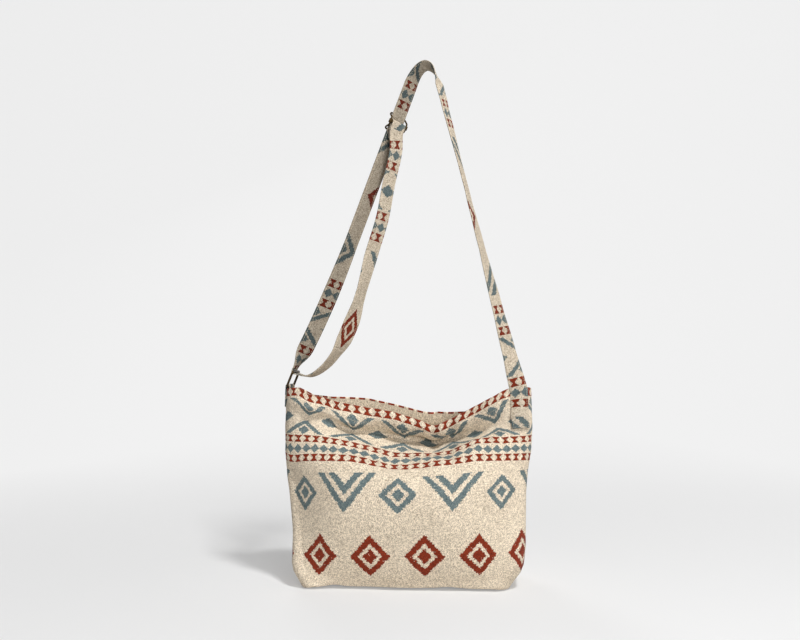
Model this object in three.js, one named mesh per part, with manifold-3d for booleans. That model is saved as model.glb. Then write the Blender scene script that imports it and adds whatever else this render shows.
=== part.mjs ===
// A soft cloth crossbody bag: two woven panels with boxed base corners and a turned-in hem, an
// adjustable cloth strap, a wire ring held by a cloth tab, and a wire slider with its cross bar.
// Millimetres, +Z up. The bag stands on its base, with the origin at the middle of the base.
// The front panel faces -Y. The strap is drawn pulled up, as it hangs from a hook.
import * as THREE from "three";
import { mergeVertices } from "three/addons/utils/BufferGeometryUtils.js";
import Module from "manifold-3d";

const wasm = await Module();
wasm.setup();

// Bag body
const baseWidth = 292;
const baseDepth = 122;
const bagWidth = 360; // across the side seams, at the fullest height
const panelHeight = 302; // cloth from the base edge up to the rim
const sideShape = [ // spread of the sides, from the base's width to the full width, at shares of the height
  [0, 0], [0.04, 0.22], [0.08, 0.48], [0.12, 0.61], [0.2, 0.69], [0.45, 0.72], [0.56, 0.8], [0.66, 0.94],
  [0.8, 1], [1, 0.95],
];
const baseCorner = 26; // radius of the base's corners
const rimCorner = 21; // radius of the ends at the rim
const rimFlat = 3; // half of the flat stretch at each end of the rim
const bulge = 3; // exponent of the walls' curve between the ends
const flatFade = 0.9; // share of the height over which the base's flat ends turn into the rim's
const seamEase = 6; // exponent that brings both panels to one height at the seams
const clothThickness = 1.4;
const hemHeight = 22;
const hemLayer = 1.2; // extra thickness where the hem is turned in
const seamGap = 0.3;
const clearance = 0.3;

// Slouch: each wall leans in (+) or out (-) by so many degrees, at shares of the cloth height
const slouchX = 43; // where the rims have sunk most
const foldX = 32; // where the cloth below the fold has sunk most
const slouchSoftness = 7; // radius that rounds the lowest point of the rim
const slouchLeft = 0.56; // share of the slouch left at the side seams
const slouchRight = 0.51;
const slouchStart = 0.4; // cloth height below which the walls stand alike all the way across
const slouchEase = 0.05; // softness of that start
const foldEnd = 0.55; // share of the height where the lowest place moves over from foldX
const rimStart = 0.7; // and where it has reached slouchX
const frontLean = [
  [0, -26], [0.08, -19.5], [0.2, -9.5], [0.33, -2.5], [0.45, 8], [0.53, 35], [0.6, 58], [0.68, 71],
  [0.81, 80], [0.862, 74], [0.887, -52], [0.912, -50], [0.938, -34], [0.965, -16], [1, -4],
];
const backLean = [
  [0, -26], [0.08, -17], [0.2, -7], [0.33, 0], [0.42, 12], [0.47, 52], [0.54, 66], [0.57, 45],
  [0.6, -48], [0.65, -65], [0.68, -45], [0.71, 54], [0.76, 76], [0.79, 54], [0.82, -52],
  [0.87, -70], [0.9, -40], [0.94, 46], [1, 56],
];

// Strap
const strapWidth = 26;
const strapThickness = 1.8;
const anchorLength = 60; // strap sewn down on the bag below the rim
const anchorOffset = -33; // middle of the sewn strap, round from the right seam towards the front
const hangX = 25; // top of the strap, where a hook or a shoulder carries it
const hangY = 0;
const hangHeight = 751;
const archSpan = 42; // between the two shoulders of the arch
const archDrop = 31; // from the top of the strap down to its shoulders
const archLift = 1.28; // control arm of the arch, as a share of its drop
const leftStraight = 236; // straight stretch of the left run, along which the slider moves
const leftBend = 7; // how far the end of that stretch stands right of a straight line to the ring
const leftSweep = 0.6; // control arm of the bend below it, as a share of what is left
const fadeLength = 60; // free strap over which the curve of the bag's end fades out
const strapTurn = [ // twist against the picture plane: to 1 up the right run, to 2 over the arch, to 3 down
  [0, 44], [0.15, 42], [0.23, 53], [0.31, 58], [0.45, 71], [0.55, 75], [0.64, 79], [0.74, 80],
  [0.84, 75], [1, 68], [1.5, 114], [2, 130], [2.03, 131], [2.55, 131], [2.73, 146],
];
const ringTwist = 36; // strap above the ring over which it turns to the ring's bar

// Ring, tab and slider
const ringWire = 3.4;
const ringSide = 2.5; // free space beside the strap in the ring
const ringHeight = 20; // inside
const ringCorner = 3.6; // bend radius of the wire's middle line
const tabThickness = 1.6;
const tabLength = 26; // each leg, below the rim
const tabOffset = -3; // middle of the tab, round from the left seam towards the back
const ringRise = 5.5; // ring's hinge line above the rim
const sliderWire = 2.6;
const sliderHeight = 24; // between the middle lines of the end bars
const sliderDrop = 60; // slider's middle, down from the strap's left shoulder
const sliderCorner = 4; // bend radius of the wire's middle line
const sliderFlat = 9; // straight middle stretch of the slider's rails
const sleeveWall = 1; // cross bar's curled ends round the rails
const sleeveLength = 6;
const sideSpace = 0.4; // free space beside the strap at the cross bar
const tailLength = 20; // strap's sewn end, turned back behind the cross bar
const returnBow = 54; // how far the slack return run stands off towards the front right
const returnShape = [ // places on the return run: share of the way up to the slider, share of its bow
  [-0.018, 0.42], [0.016, 0.74], [0.09, 0.95], [0.2, 1], [0.33, 0.92], [0.47, 0.79], [0.62, 0.68],
  [0.76, 0.47], [0.89, 0.3],
];
const returnTurn = [ // the return run's twist against the picture plane, at shares of its length
  [0, 72], [0.12, 71], [0.18, 65], [0.235, 38], [0.3, 36], [0.37, 60], [0.42, 64], [0.47, 58],
  [0.53, 50], [0.9, 54],
];
const ringRelease = 0.14; // share of the return run over which it turns away from the ring's bar
const sliderTake = 0.8; // share of it from which it turns to the slider's bar
const barWrap = 84; // degrees that the slack strap goes round the ring's bar
const tailLift = 0.6; // share of the tail's length below the cross bar where the run stands clear of it
const innerClearance = 0.9; // a flat-sided cloth wall stands a little inside its true curve

// Fineness of the bodies
const frontRowStops = [[0.44, 6], [0.82, 9], [1, 10]]; // share of the height, and rows up to it
const backRowStops = [[0.4, 4], [1, 21]];
const frontColumns = 24;
const backColumns = 18;
const cornerColumns = 4;
const baseRows = 3;
const lineSteps = 300; // steps of an upright line of cloth
const slopeRounds = 12; // rounds that settle a corner's slope
const hemSoftness = 2; // half of the height over which the hem's thickness sets in
const endSteps = 90; // steps round an end of the bag
const endReach = 0.4; // share of a panel that an end takes in
const normalStep = 0.004; // share of a panel over which a normal is taken
const wireSides = 8;
const bendSteps = 3;
const ringSteps = 40;
const sliderSteps = 64;
const railSteps = 12;
const tabSteps = 3;
const tabTurnSteps = 8;
const anchorSteps = 5;
const runSteps = [22, 14, 16]; // right run, arch and left run
const wrapSteps = 6;
const returnSteps = 34;
const tailSteps = 4;
const barSides = 10;
const sleeveSides = 14;

const degrees = Math.PI / 180;
const mix = THREE.MathUtils.lerp;
const clamp = THREE.MathUtils.clamp;
const smooth = THREE.MathUtils.smoothstep;
const up = new THREE.Vector3(0, 0, 1);
const away = new THREE.Vector3(0, 1, 0);
const steps = (count) => Array.from({ length: count + 1 }, (_, i) => i / count);

// The value at a place in a list of [place, value] stops
function atStops(list, place) {
  let i = 1;
  while (i < list.length - 1 && place > list[i][0]) i++;
  const [[from, low], [to, high]] = [list[i - 1], list[i]];
  return mix(low, high, clamp((place - from) / (to - from), 0, 1));
}

// A closed body from rows of points that run round a section, capped at both ends
function loft(sections) {
  const size = sections[0].length;
  const points = sections.flat();
  const triangles = [];
  for (let i = 0; i + 1 < sections.length; i++) {
    for (let j = 0; j < size; j++) {
      const [a, b] = [i * size + j, i * size + ((j + 1) % size)];
      triangles.push([a, b, b + size], [a, b + size, a + size]);
    }
  }
  const last = (sections.length - 1) * size;
  for (let j = 1; j < size / 2; j++) {
    const [a, b] = [j - 1, size - j];
    triangles.push([a, b, b - 1], [a, b - 1, j]);
    triangles.push([last + a, last + b - 1, last + b], [last + a, last + j, last + b - 1]);
  }
  return closedBody(points, triangles);
}

// A geometry of the given triangles, without the empty ones, facing out
function closedBody(points, triangles) {
  const place = new Map();
  const same = points.map((p) => {
    const key = [p.x, p.y, p.z].map((v) => Math.round(v * 1000)).join();
    if (!place.has(key)) place.set(key, place.size);
    return place.get(key);
  });
  const unique = [];
  points.forEach((p, i) => (unique[same[i]] ??= p));
  const kept = triangles
    .map((t) => t.map((i) => same[i]))
    .filter(([a, b, c]) => a !== b && b !== c && c !== a);
  const volume = kept.reduce((sum, [a, b, c]) => {
    return sum + unique[a].dot(new THREE.Vector3().crossVectors(unique[b], unique[c]));
  }, 0);
  const facing = volume < 0 ? kept.map(([a, b, c]) => [a, c, b]) : kept;
  const geometry = new THREE.BufferGeometry().setFromPoints(unique);
  geometry.setIndex(facing.flat());
  geometry.computeVertexNormals();
  return geometry;
}

// Bag body

// How much of the full slouch a wall has at a place across the bag and a share of its height
function slouchAt(x, share) {
  const lowest = mix(foldX, slouchX, smooth(share, foldEnd, rimStart));
  const reach = bagWidth / 2 + (x < lowest ? lowest : -lowest);
  const off = Math.hypot(x - lowest, slouchSoftness) - slouchSoftness;
  const amount = mix(1, x < lowest ? slouchLeft : slouchRight, off / reach);
  return mix(1, amount, smooth(share, slouchStart - slouchEase, slouchStart + slouchEase));
}

// Depth from the seam plane and height of one upright line of cloth, from the base to the rim
function uprightLine(lean, x) {
  const line = [[baseDepth / 2, 0]];
  for (let i = 0; i < lineSteps; i++) {
    const share = (i + 0.5) / lineSteps;
    const angle = atStops(lean, share) * slouchAt(x, share) * degrees;
    const [depth, height] = line[i];
    const step = panelHeight / lineSteps;
    line.push([depth - Math.sin(angle) * step, height + Math.cos(angle) * step]);
  }
  return (share) => {
    const at = clamp(share, 0, 1) * lineSteps;
    const i = Math.min(Math.floor(at), lineSteps - 1);
    return [mix(line[i][0], line[i + 1][0], at - i), mix(line[i][1], line[i + 1][1], at - i)];
  };
}

// A wall's outer surface: side -1 is the front and +1 the back. Round runs from the left seam, -1,
// to the right seam, +1, and share from the base edge, 0, to the rim, 1. Each horizontal line is a
// curved wall, a round corner that takes over its slope, and a short flat end up to the seam.
const lines = new Map();
const wallPart = 0.84; // share of round on the curved wall
const cornerPart = 0.97; // share of round at the end of the corner
function lineAt(side, x) {
  const key = `${side} ${x.toFixed(3)}`;
  if (!lines.has(key)) lines.set(key, uprightLine(side < 0 ? frontLean : backLean, x));
  return lines.get(key);
}

function wallPoint(side, round, share) {
  const end = Math.sign(round) || 1;
  const halfWidth = mix(baseWidth, bagWidth, atStops(sideShape, share)) / 2;
  const corner = mix(baseCorner, rimCorner, share);
  const flat = mix(baseDepth / 2 - baseCorner, rimFlat, smooth(share, 0, flatFade));
  const q = clamp(Math.abs(round) / wallPart, 0, 1);
  const [depth, ownHeight] = lineAt(side, (end * q * bagWidth) / 2)(share);
  const [endDepth, endHeight] = lineAt(side, (end * bagWidth) / 2)(share);
  const [, otherHeight] = lineAt(-side, (end * bagWidth) / 2)(share);
  const height = mix(ownHeight, (endHeight + otherHeight) / 2, q ** seamEase);
  let slope = 0;
  let join = halfWidth - corner;
  for (let i = 0; i < slopeRounds; i++) {
    join = halfWidth - corner * (1 - Math.sin(slope));
    slope = Math.atan((bulge * (endDepth - flat - corner * Math.cos(slope))) / join);
  }
  const joinDepth = flat + corner * Math.cos(slope);
  if (Math.abs(round) <= wallPart) {
    const y = joinDepth + (depth - joinDepth) * (1 - q ** bulge);
    return new THREE.Vector3(end * q * join, side * y, height);
  }
  const t = clamp((Math.abs(round) - wallPart) / (cornerPart - wallPart), 0, 1);
  const angle = mix(slope, Math.PI / 2, t);
  const toSeam = clamp((1 - Math.abs(round)) / (1 - cornerPart), 0, 1);
  const x = halfWidth - corner * (1 - Math.sin(angle));
  return new THREE.Vector3(end * x, side * (flat * toSeam + corner * Math.cos(angle)), height);
}

function wallNormal(side, round, share) {
  const d = normalStep;
  const along = wallPoint(side, Math.min(round + d, 1), share)
    .sub(wallPoint(side, Math.max(round - d, -1), share));
  const rise = wallPoint(side, round, Math.min(share + d, 1))
    .sub(wallPoint(side, round, Math.max(share - d, 0)));
  return along.cross(rise).multiplyScalar(-side).normalize();
}

// Cloth thickness, with the turned-in hem along the rim
function wallThickness(share) {
  const toHem = (share - 1) * panelHeight + hemHeight;
  return clothThickness + hemLayer * smooth(toHem, -hemSoftness, hemSoftness);
}

// One panel with its half of the base: a sheet of cloth with a real thickness
function panelGeometry(side, columns, rows) {
  const outer = [];
  const inner = [];
  const middle = (side * seamGap) / 2;
  const atSeam = (p, j) => { // the ends stay on their own side of the seam
    return Math.abs(columns[j]) > wallPart ? p.setY(side * Math.max(side * p.y, seamGap / 2)) : p;
  };
  for (const k of steps(baseRows).slice(0, -1)) {
    const line = columns.map((round) => {
      const edge = wallPoint(side, round, 0);
      return new THREE.Vector3(mix((round * baseWidth) / 2, edge.x, k), mix(middle, edge.y, k), 0);
    });
    outer.push(line.map(atSeam));
    inner.push(line.map((p) => p.clone().setZ(clothThickness)));
  }
  for (const share of rows) {
    const line = columns.map((round) => wallPoint(side, round, share));
    outer.push(line.map((p, j) => atSeam(p.clone(), j)));
    inner.push(line.map((p, j) => {
      const normal = wallNormal(side, columns[j], share);
      if (share === 0) normal.set(normal.x, normal.y, -1).normalize();
      if (Math.abs(columns[j]) === 1) normal.setY(0).normalize();
      return atSeam(p.clone().addScaledVector(normal, -wallThickness(share)), j);
    }));
  }
  const [count, size] = [outer.length, columns.length];
  const points = [...outer.flat(), ...inner.flat()];
  const triangles = [];
  const face = (a, b, c, d) => triangles.push([a, b, c], [a, c, d]);
  const far = count * size;
  for (let i = 0; i + 1 < count; i++) {
    for (let j = 0; j + 1 < size; j++) {
      const a = i * size + j;
      face(a, a + 1, a + size + 1, a + size);
      face(far + a, far + a + size, far + a + size + 1, far + a + 1);
    }
    for (const [j, turned] of [[0, true], [size - 1, false]]) {
      const a = i * size + j;
      if (turned) face(a, a + size, far + a + size, far + a);
      else face(a, far + a, far + a + size, a + size);
    }
  }
  for (let j = 0; j + 1 < size; j++) {
    const a = (count - 1) * size + j;
    face(j, far + j, far + j + 1, j + 1);
    face(a, a + 1, far + a + 1, far + a);
  }
  return closedBody(points, triangles);
}

// Places across a panel: on the curved wall, round each corner and along the flat end
const panelColumns = (wall) => [
  -1,
  ...steps(cornerColumns).map((t) => mix(-cornerPart, -wallPart, t)),
  ...steps(wall).slice(1, -1).map((t) => mix(-wallPart, wallPart, t)),
  ...steps(cornerColumns).map((t) => mix(wallPart, cornerPart, t)),
  1,
];

// Shares of the height for a panel's rows, from a list of [share, rows up to it]
function panelRows(stops) {
  const rows = [0];
  for (const [share, count] of stops) {
    const last = rows[rows.length - 1];
    rows.push(...steps(count).slice(1).map((t) => mix(last, share, t)));
  }
  return rows;
}

// Where cloth lies on the rounded end of the bag: the outer surface at a distance round from the
// seam, measured from the right seam (end +1) towards the front when negative, and from the left
// seam (end -1) towards the back when negative
function endPoint(end, distance, share) {
  const side = (distance < 0 ? -1 : 1) * end;
  let walked = 0;
  let last = wallPoint(side, end, share);
  for (let i = 1; i <= endSteps; i++) {
    const round = end * (1 - (i / endSteps) * endReach);
    const next = wallPoint(side, round, share);
    const step = next.distanceTo(last);
    if (walked + step >= Math.abs(distance)) {
      const part = (Math.abs(distance) - walked) / step;
      const at = end * (1 - ((i - 1 + part) / endSteps) * endReach);
      return { point: last.clone().lerp(next, part), normal: wallNormal(side, at, share) };
    }
    walked += step;
    last = next;
  }
  return { point: last, normal: wallNormal(side, end * (1 - endReach), share) };
}

// Ribbons of cloth

const acrossCount = 4;
const acrossPlaces = steps(acrossCount).map((t) => t - 0.5);

// A section of ribbon lying on the bag's end: from `lift` off the outer surface, `thick` further out
function sewnSection(end, offset, width, share, lift, thick) {
  const places = acrossPlaces.map((t) => endPoint(end, offset + end * t * width, share));
  const low = places.map(({ point, normal }) => point.clone().addScaledVector(normal, lift));
  const high = places.map(({ point, normal }) => point.clone().addScaledVector(normal, lift + thick));
  return [...low, ...high.reverse()];
}

// A free section: bow is the height of each place off the straight line across
function freeSection(middle, across, normal, width, thick, bow = acrossPlaces.map(() => 0)) {
  const face = (off) => acrossPlaces.map((t, j) => middle.clone()
    .addScaledVector(across, t * width)
    .addScaledVector(normal, bow[j] + off));
  return [...face(-thick / 2), ...face(thick / 2).reverse()];
}

// The middle, directions and bow of a section that was laid on the bag
function sectionFrame(section) {
  const half = section.length / 2;
  const middles = steps(half - 1).map((_, j) => section[j].clone()
    .lerp(section[section.length - 1 - j], 0.5));
  const middle = middles[0].clone().lerp(middles[half - 1], 0.5);
  const across = middles[half - 1].clone().sub(middles[0]).normalize();
  const normal = section[section.length - 1].clone().sub(section[0])
    .add(section[half].clone().sub(section[half - 1]));
  normal.addScaledVector(across, -normal.dot(across)).normalize();
  const bow = middles.map((p) => p.clone().sub(middle).dot(normal));
  return { middle, across, normal, bow };
}

// Direction across a run of strap: turn is the twist against the plane of the picture
function strapAcross(along, turn) {
  const flat = new THREE.Vector3().crossVectors(away, along).normalize();
  const across = flat.multiplyScalar(Math.cos(turn * degrees))
    .addScaledVector(away, Math.sin(turn * degrees));
  across.addScaledVector(along, -across.dot(along)).normalize();
  return across;
}

// Tab and ring

const tabRim = sectionFrame(sewnSection(-1, tabOffset, strapWidth, 1, clearance, tabThickness));
const rimMiddle = tabRim.middle.clone()
  .addScaledVector(tabRim.normal, -(clearance + (tabThickness + wallThickness(1)) / 2));
const hinge = rimMiddle.clone().addScaledVector(up, ringRise);

// The strap's shoulders, and the line from the left one down to the ring
const leftShoulder = new THREE.Vector3(hangX - archSpan / 2, hangY, hangHeight - archDrop);
const rightShoulder = new THREE.Vector3(hangX + archSpan / 2, hangY, hangHeight - archDrop);
const down = hinge.clone().sub(leftShoulder).normalize();
const pull = down.clone().negate();
const ringFrame = (() => {
  const across = tabRim.across.clone().addScaledVector(pull, -tabRim.across.dot(pull)).normalize();
  if (across.x < 0) across.negate();
  return { across, normal: new THREE.Vector3().crossVectors(across, pull).normalize() };
})();
const ringReach = ringHeight + ringWire; // between the middle lines of its two bars
const ringBar = hinge.clone().addScaledVector(pull, ringReach);

// Points of a wire bent to a rounded rectangle, as [across, along] from its middle
function wireOutline(width, height, corner) {
  const points = [];
  for (const [sx, sy, from] of [[1, 1, 0], [-1, 1, 90], [-1, -1, 180], [1, -1, 270]]) {
    for (const t of steps(bendSteps)) {
      const angle = (from + t * 90) * degrees;
      points.push([
        sx * (width / 2 - corner) + corner * Math.cos(angle),
        sy * (height / 2 - corner) + corner * Math.sin(angle),
      ]);
    }
  }
  return points;
}

function wireLoop(points, wire, count) {
  const curve = new THREE.CatmullRomCurve3(points, true, "centripetal");
  const tube = new THREE.TubeGeometry(curve, count, wire / 2, wireSides, true);
  tube.deleteAttribute("normal");
  tube.deleteAttribute("uv");
  return mergeVertices(tube, 1e-3);
}

const ringWidth = strapWidth + 2 * ringSide + ringWire;
const ringMiddle = hinge.clone().lerp(ringBar, 0.5);
const ringGeometry = wireLoop(
  wireOutline(ringWidth, ringReach, ringCorner).map(([w, l]) => ringMiddle.clone()
    .addScaledVector(ringFrame.across, w).addScaledVector(pull, l)),
  ringWire, ringSteps,
);

// The tab's outer leg, its turn over the ring's lower bar, and its inner leg
const tabTurn = ringWire / 2 + clearance + tabThickness / 2;
const tabSections = [];
const outerLeg = steps(tabSteps).map((t) => 1 - ((1 - t) * tabLength) / panelHeight);
for (const share of outerLeg) {
  tabSections.push(sewnSection(-1, tabOffset, strapWidth, share, clearance, tabThickness));
}
const outward = ringFrame.normal.clone().multiplyScalar(Math.sign(ringFrame.normal.dot(tabRim.normal)));
const tabAcross = ringFrame.across.clone().multiplyScalar(Math.sign(ringFrame.across.dot(tabRim.across)));
for (const t of steps(tabTurnSteps)) {
  const angle = t * Math.PI;
  const off = outward.clone().multiplyScalar(Math.cos(angle)).addScaledVector(pull, Math.sin(angle));
  tabSections.push(freeSection(
    hinge.clone().addScaledVector(off, tabTurn), tabAcross, off, strapWidth, tabThickness,
  ));
}
for (const share of [...outerLeg].reverse()) {
  const lift = -(wallThickness(share) + innerClearance + tabThickness);
  const section = sewnSection(-1, tabOffset, strapWidth, share, lift, tabThickness);
  const half = section.length / 2;
  tabSections.push([...section.slice(half).reverse(), ...section.slice(0, half).reverse()]);
}
const tabGeometry = loft(tabSections);

// Strap, from its sewn end over the arch and down to the ring

const barTurn = ringWire / 2 + clearance + strapThickness / 2; // strap's middle round the ring's bar
const strapEnd = ringBar.clone().addScaledVector(ringFrame.normal, -barTurn)
  .addScaledVector(pull, ringWire);
const anchorRim = sectionFrame(
  sewnSection(1, anchorOffset, strapWidth, 1, clearance, strapThickness),
);
const rightRun = new THREE.LineCurve3(anchorRim.middle, rightShoulder);
const leftRun = (() => {
  const bend = leftShoulder.clone().lerp(strapEnd, leftStraight / leftShoulder.distanceTo(strapEnd));
  bend.x += leftBend;
  const upper = new THREE.LineCurve3(leftShoulder, bend);
  const knee = bend.clone().addScaledVector(upper.getTangentAt(1), leftSweep * bend.distanceTo(strapEnd));
  const run = new THREE.CurvePath();
  run.add(upper);
  run.add(new THREE.QuadraticBezierCurve3(bend, knee, strapEnd));
  return run;
})();
const archPull = archDrop * archLift; // control arms that lift the arch to the strap's full height
const arch = new THREE.CubicBezierCurve3(
  rightShoulder,
  rightShoulder.clone().addScaledVector(rightRun.getTangentAt(1), archPull),
  leftShoulder.clone().addScaledVector(leftRun.getTangentAt(0), -archPull),
  leftShoulder,
);

// One section of the strap: run 0 is the right run, 1 the arch and 2 the left run
function strapPlace(run, t) {
  const curve = [rightRun, arch, leftRun][run];
  const middle = curve.getPointAt(t);
  const along = curve.getTangentAt(t);
  const across = strapAcross(along, atStops(strapTurn, run + t));
  const nearBag = run === 0 ? 1 - smooth(t * curve.getLength(), 0, fadeLength) : 0;
  const toRing = (1 - t) * curve.getLength();
  const nearRing = run === 2 ? 1 - smooth(toRing, 0, ringTwist) : 0;
  across.lerp(anchorRim.across, nearBag).lerp(ringFrame.across, nearRing);
  across.addScaledVector(along, -across.dot(along)).normalize();
  const normal = new THREE.Vector3().crossVectors(across, along).normalize();
  return { middle, along, across, normal, bow: anchorRim.bow.map((v) => v * nearBag) };
}

const anchorShares = steps(anchorSteps).map((t) => 1 - ((1 - t) * anchorLength) / panelHeight);
const strapSections = anchorShares.map((share) => {
  return sewnSection(1, anchorOffset, strapWidth, share, clearance, strapThickness);
});
runSteps.forEach((count, run) => {
  for (const t of steps(count).slice(1)) {
    const { middle, across, normal, bow } = strapPlace(run, t);
    strapSections.push(freeSection(middle, across, normal, strapWidth, strapThickness, bow));
  }
});
const strapGeometry = loft(strapSections);

// Slider: its end bars lie behind the strap and its cross bar in front, so the strap runs straight

const sliderPlace = strapPlace(2, sliderDrop / leftRun.getLength());
const sliderRise = sliderPlace.along.clone().negate();
const sliderFront = sliderPlace.normal.clone().negate();
const atSlider = (w, l, n) => sliderPlace.middle.clone()
  .addScaledVector(sliderPlace.across, w)
  .addScaledVector(sliderRise, l)
  .addScaledVector(sliderFront, n);
const tailTurn = sliderWire / 2 + clearance + strapThickness / 2;
const barOff = strapThickness + clearance + tailTurn;
const endOff = -(strapThickness / 2 + clearance + sliderWire / 2);
const sleeveInside = sliderWire / 2 + clearance;
const railOff = strapWidth / 2 + sideSpace + sleeveWall + sleeveInside;
const bowAt = (l) => mix(barOff, endOff, smooth(Math.abs(l), sliderFlat / 2, sliderHeight / 2));
const framePoints = [];
const frameOutline = wireOutline(2 * railOff, sliderHeight, sliderCorner);
frameOutline.forEach(([w, l], i) => {
  const [nextW, nextL] = frameOutline[(i + 1) % frameOutline.length];
  const isRail = Math.abs(nextL - l) > sliderHeight / 2;
  for (const t of isRail ? steps(railSteps).slice(0, -1) : [0]) {
    framePoints.push(atSlider(mix(w, nextW, t), mix(l, nextL, t), bowAt(mix(l, nextL, t))));
  }
});
const frameGeometry = wireLoop(framePoints, sliderWire, sliderSteps);

function solid(geometry) {
  const source = mergeVertices(geometry.deleteAttribute("normal").deleteAttribute("uv"), 1e-4);
  return new wasm.Manifold(new wasm.Mesh({
    numProp: 3,
    vertProperties: new Float32Array(source.attributes.position.array),
    triVerts: new Uint32Array(source.index.array),
  }));
}

// Cross bar along X with a sleeve along Y at each end, joined, then set in the slider
const barGeometry = (() => {
  const sleeveOutside = sleeveInside + sleeveWall;
  const bar = new THREE.CylinderGeometry(
    sliderWire / 2, sliderWire / 2, 2 * (railOff - sleeveInside) - sleeveWall, barSides,
  ).rotateZ(Math.PI / 2);
  const half = sleeveLength / 2;
  const profile = [
    [sleeveInside, -half], [sleeveOutside, -half], [sleeveOutside, half], [sleeveInside, half],
    [sleeveInside, -half],
  ].map(([r, y]) => new THREE.Vector2(r, y));
  const sleeve = () => new THREE.LatheGeometry(profile, sleeveSides);
  const joined = solid(bar)
    .add(solid(sleeve().translate(railOff, 0, 0)))
    .add(solid(sleeve().translate(-railOff, 0, 0)))
    .getMesh();
  const geometry = new THREE.BufferGeometry();
  geometry.setAttribute("position", new THREE.BufferAttribute(joined.vertProperties, 3));
  geometry.setIndex([...joined.triVerts]);
  return geometry.applyMatrix4(new THREE.Matrix4()
    .makeBasis(sliderPlace.across, sliderRise, sliderFront)
    .setPosition(atSlider(0, 0, barOff)));
})();

// Return run: under the ring's bar, out to the front right, up to the slider and over its cross bar

const returnStart = strapEnd.clone().addScaledVector(pull, -clearance);
const roundBar = (angle) => ringFrame.normal.clone().multiplyScalar(-Math.cos(angle))
  .addScaledVector(pull, -Math.sin(angle));
const wrapAngle = barWrap * degrees;
const leave = ringBar.clone().addScaledVector(roundBar(wrapAngle), barTurn);
const reach = sliderPlace.middle.clone().sub(ringBar);
const beside = ringFrame.normal.clone().setZ(0).normalize();
const returnPoints = returnShape.map(([rise, off]) => ringBar.clone()
  .addScaledVector(reach, rise).addScaledVector(beside, off * returnBow));
const returnRun = new THREE.CatmullRomCurve3([
  leave,
  ...returnPoints,
  atSlider(0, -tailLength * tailLift, barOff + tailTurn + 2 * clearance),
  atSlider(0, 0, barOff + tailTurn),
], false, "centripetal");

const ribbon = (middle, along, across) => {
  const level = across.clone().addScaledVector(along, -across.dot(along)).normalize();
  const normal = new THREE.Vector3().crossVectors(level, along).normalize();
  return freeSection(middle, level, normal, strapWidth, strapThickness);
};
const returnSections = [ribbon(returnStart, down, ringFrame.across)];
for (const t of steps(wrapSteps)) {
  const angle = t * wrapAngle;
  const along = roundBar(angle + Math.PI / 2);
  returnSections.push(ribbon(
    ringBar.clone().addScaledVector(roundBar(angle), barTurn), along, ringFrame.across,
  ));
}
function returnAcross(t) {
  const free = strapAcross(returnRun.getTangentAt(t), atStops(returnTurn, t));
  const near = ringFrame.across.clone().lerp(free, smooth(t, 0, ringRelease));
  return near.lerp(sliderPlace.across, smooth(t, sliderTake, 1));
}
for (const t of steps(returnSteps).slice(1)) {
  returnSections.push(ribbon(returnRun.getPointAt(t), returnRun.getTangentAt(t), returnAcross(t)));
}
for (const t of steps(wrapSteps).slice(1)) {
  const angle = t * Math.PI;
  const off = sliderFront.clone().multiplyScalar(Math.cos(angle))
    .addScaledVector(sliderRise, Math.sin(angle));
  const along = sliderRise.clone().multiplyScalar(Math.cos(angle))
    .addScaledVector(sliderFront, -Math.sin(angle));
  returnSections.push(ribbon(
    atSlider(0, 0, barOff).addScaledVector(off, tailTurn), along, sliderPlace.across,
  ));
}
for (const t of steps(tailSteps).slice(1)) {
  const back = 1 - (t * tailLength) / returnRun.getLength();
  const along = returnRun.getTangentAt(back);
  const across = returnAcross(back);
  const normal = new THREE.Vector3().crossVectors(across, along).normalize();
  const apart = mix(2 * tailTurn, strapThickness + clearance, smooth(t, 0, tailLift));
  const middle = returnRun.getPointAt(back).addScaledVector(normal, -apart);
  returnSections.push(ribbon(middle, along.negate(), across));
}
const returnGeometry = loft(returnSections);

// Nodes

const cloth = () => new THREE.MeshStandardMaterial({ color: 0xc9bba8, roughness: 0.92, metalness: 0 });
const strapCloth = () => new THREE.MeshStandardMaterial({ color: 0xb3a294, roughness: 0.9, metalness: 0 });
const metal = () => new THREE.MeshStandardMaterial({ color: 0x6a5638, roughness: 0.38, metalness: 1 });

const bag = new THREE.Group();
bag.name = "crossbody_bag";
for (const [name, geometry, material] of [
  ["front_panel", panelGeometry(-1, panelColumns(frontColumns), panelRows(frontRowStops)), cloth()],
  ["back_panel", panelGeometry(1, panelColumns(backColumns), panelRows(backRowStops)), cloth()],
  ["strap", strapGeometry, strapCloth()],
  ["strap_return", returnGeometry, strapCloth()],
  ["ring_tab", tabGeometry, strapCloth()],
  ["ring", ringGeometry, metal()],
  ["slider_frame", frameGeometry, metal()],
  ["slider_bar", barGeometry, metal()],
]) {
  const mesh = new THREE.Mesh(geometry, material);
  mesh.name = name;
  bag.add(mesh);
}

export default bag;
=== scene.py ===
import math

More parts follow.
